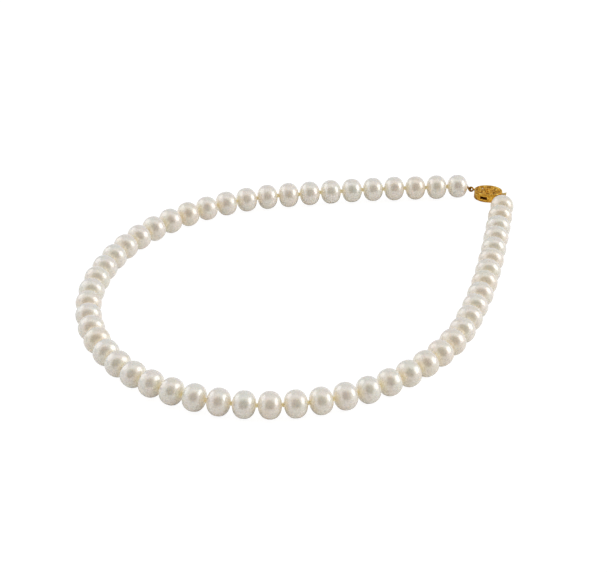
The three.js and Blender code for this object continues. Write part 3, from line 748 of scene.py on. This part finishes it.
hook_body = node_body["hook_strip"]
strip_low, strip_high = box_in_clasp("hook_strip")
leaf_low, leaf_high = box_in_clasp("hook_spring_leaf")
leaf_underside = leaf_low.z
leaf_topside = leaf_underside + STRIP_THICKNESS
leaf_start = leaf_low.x
strip_end = leaf_start - FOLD_OVERLAP
fold_radius = (leaf_topside - strip_low.z) / 2
fold_x, fold_z = strip_low.x + fold_radius, strip_low.z + fold_radius
bend = [(math.cos(a), math.sin(a))
        for a in (math.pi / 2 + math.pi * i / FOLD_STEPS for i in range(FOLD_STEPS + 1))]
inner_radius = fold_radius - STRIP_THICKNESS
bm = bent_strip([
    (strip_end, leaf_topside),
    *[(fold_x + fold_radius * c, fold_z + fold_radius * s) for c, s in bend],
    (strip_high.x, strip_low.z),
    (strip_high.x, strip_low.z + STRIP_THICKNESS),
    *[(fold_x + inner_radius * c, fold_z + inner_radius * s) for c, s in reversed(bend)],
    (strip_end, leaf_underside)])
clasp_piece("hook_lower_strip", bm, gold, hook_body, ["hook_strip"], STRIP_BEVEL)

# ---------------------------------------------------------------------------------------------
# The hook's leaf: the upper, springy run of the same strip, with a barb on top that snaps behind
# the catch bar and a thumb tab that curls up outside the mouth. It is paler and harder polished.
# ---------------------------------------------------------------------------------------------
LEAF_BEVEL = 0.00005
BARB_HEIGHT = 0.00012
BARB_LENGTH = 0.0007
BARB_GAP = 0.0001  # between the barb and the catch bar
TAB_START = CASE_LENGTH / 2 + 0.0004
TAB_CURVE = (0.3, 0.6, 0.8, 1.0)

# Gold plate on hard spring brass: paler, and smooth enough for small sharp glints.
spring_gold = gilt_material("hard_gilt_spring", "#f4dc94", "#e0b75a", "#b9862f", 0.18)
barb_end = bar_middle.x - 2 * bar_radius - BARB_GAP
rise = leaf_high.z - leaf_topside


def tab_side(height, shares):
    """The thumb tab's upper or lower side, curling up to its tip."""
    return [(TAB_START + (leaf_high.x - TAB_START) * s, height + rise * s * s) for s in shares]


bm = bent_strip([
    (leaf_start, leaf_underside), (TAB_START, leaf_underside),
    *tab_side(leaf_underside, TAB_CURVE), *tab_side(leaf_topside, reversed(TAB_CURVE)),
    (TAB_START, leaf_topside), (barb_end, leaf_topside), (barb_end, leaf_topside + BARB_HEIGHT),
    (barb_end - BARB_LENGTH, leaf_topside), (leaf_start, leaf_topside)])
clasp_piece("hook_leaf", bm, spring_gold, node_body["hook_spring_leaf"],
            ["hook_spring_leaf"], LEAF_BEVEL)

# ---------------------------------------------------------------------------------------------
# The hook ring: a ring of round gold-plated wire that stands upright beside the strip's outer end,
# held by a drop of solder. The other gimp hangs in it.
# ---------------------------------------------------------------------------------------------
HOOK_RING_SOLDER = 0.00028
SOLDER_REACH = 1.05  # from the ring's middle, in distances from there to the gimp's link

low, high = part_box("hook_end_ring")
ring_middle = in_clasp.inverted() @ ((low + high) / 2)
ring_across = (high.z - low.z) - HOOK_RING_WIRE
to_link = (in_clasp.inverted() @ hook_link) - ring_middle
bm = upright_ring(ring_middle, ring_across, HOOK_RING_WIRE, math.atan2(to_link.y, to_link.x))
foot = ring_middle - to_link * SOLDER_REACH
bead(bm, Vector((foot.x, foot.y, strip_low.z + STRIP_THICKNESS / 2)), HOOK_RING_SOLDER)
clasp_piece("hook_ring", bm, dark_gold, hook_body, ["hook_end_ring"])

# ---------------------------------------------------------------------------------------------
# The stage: a white table top just under the necklace, a white light tent that is darker towards
# the viewer's side, a large softbox at the right and a weaker one at the left.
# ---------------------------------------------------------------------------------------------
TABLE_HALF_SIZE = 4.0
TABLE_DROP = 0.00005  # so that the clasp's floor doesn't share a plane with the table
TABLE_GRAIN = 0.025
TABLE_GLOW = 1.15
TABLE_GLOW_SHARE = 0.8  # a table lit until it looks pure white
TENT_STRENGTH = 1.17
TENT_SHADES = [(0.0, "#bfc3ca"), (0.22, "#e2e5ec"), (0.45, "#f8faff"), (0.66, "#ece8e2"),
               (0.80, "#80786c"), (1.0, "#6a6259")]
SOFTBOX_DISTANCE = 1.2
SOFTBOX_ACROSS = 1.0
VIEW_ELEVATION = math.radians(30.95)
VIEW_DISTANCE = 0.5942
VIEW_TARGET = Vector((-0.00036, -0.00134, 0.0045))
FOCAL_LENGTH = 105.9

table_mesh = bpy.data.meshes.new("table_top")
bm = bmesh.new()
bmesh.ops.create_grid(bm, x_segments=1, y_segments=1, size=TABLE_HALF_SIZE)
bmesh.ops.translate(bm, vec=(0, 0, -TABLE_DROP), verts=bm.verts)
bm.to_mesh(table_mesh)
bm.free()
table_top = bpy.data.objects.new("table_top", table_mesh)
bpy.context.scene.collection.objects.link(table_top)
# White matt laminate: an even surface with almost no grain.
laminate, tree, shader, place = new_material("white_laminate")
grain = add_node(tree, "ShaderNodeTexNoise", {"Vector": place, "Scale": 1 / TABLE_GRAIN})
white = add_node(tree, "ShaderNodeValToRGB", {"Fac": grain.outputs["Fac"]},
                 [(0.0, "#fdfdfd"), (1.0, "#ffffff")])
feed(shader, {"Base Color": white.outputs["Color"], "Roughness": 0.9})
glow = add_node(tree, "ShaderNodeEmission", {"Color": (1, 1, 1, 1), "Strength": TABLE_GLOW})
seen = add_node(tree, "ShaderNodeLightPath", {}).outputs["Is Camera Ray"]
share = add_node(tree, "ShaderNodeMath", {0: seen, 1: TABLE_GLOW_SHARE}, operation="MULTIPLY")
mix = add_node(tree, "ShaderNodeMixShader", {
    "Fac": share.outputs[0], 1: shader.outputs[0], 2: glow.outputs[0]})
feed(tree.nodes["Material Output"], {"Surface": mix.outputs[0]})
table_mesh.materials.append(laminate)

to_viewer = Vector((0.0, -math.cos(VIEW_ELEVATION), math.sin(VIEW_ELEVATION)))
world = bpy.data.worlds.new("light_tent")
world.use_nodes = True
bpy.context.scene.world = world
tree = world.node_tree
direction = add_node(tree, "ShaderNodeTexCoord", {}).outputs["Generated"]
towards = add_node(tree, "ShaderNodeVectorMath", {0: direction, 1: to_viewer},
                   operation="DOT_PRODUCT")
tent = add_node(tree, "ShaderNodeValToRGB", {"Fac": towards.outputs["Value"]}, TENT_SHADES)
feed(tree.nodes["Background"], {"Color": tent.outputs["Color"], "Strength": TENT_STRENGTH})


def softbox(name, direction, power):
    """A round softbox that hangs in a direction from the necklace and faces it."""
    light = bpy.data.lights.new(name, "AREA")
    light.shape = "DISK"
    light.size = SOFTBOX_ACROSS
    light.energy = power
    lamp = bpy.data.objects.new(name, light)
    bpy.context.scene.collection.objects.link(lamp)
    lamp.location = direction.normalized() * SOFTBOX_DISTANCE
    lamp.rotation_mode = "QUATERNION"
    lamp.rotation_quaternion = direction.to_track_quat("Z", "Y")


softbox("softbox_right", Vector((0.90, 0.0, 0.44)), 4.0)
softbox("softbox_left", Vector((-0.77, 0.42, 0.47)), 2.15)

camera_data = bpy.data.cameras.new("camera")
camera_data.sensor_width = 36.0
camera_data.lens = FOCAL_LENGTH
camera_data.clip_start = 0.01
camera_data.clip_end = 50.0
camera = bpy.data.objects.new("camera", camera_data)
bpy.context.scene.collection.objects.link(camera)
camera.location = VIEW_TARGET + to_viewer * VIEW_DISTANCE
camera.rotation_mode = "QUATERNION"
camera.rotation_quaternion = to_viewer.to_track_quat("Z", "Y")
bpy.context.scene.camera = camera
bpy.context.scene.view_settings.view_transform = "Standard"
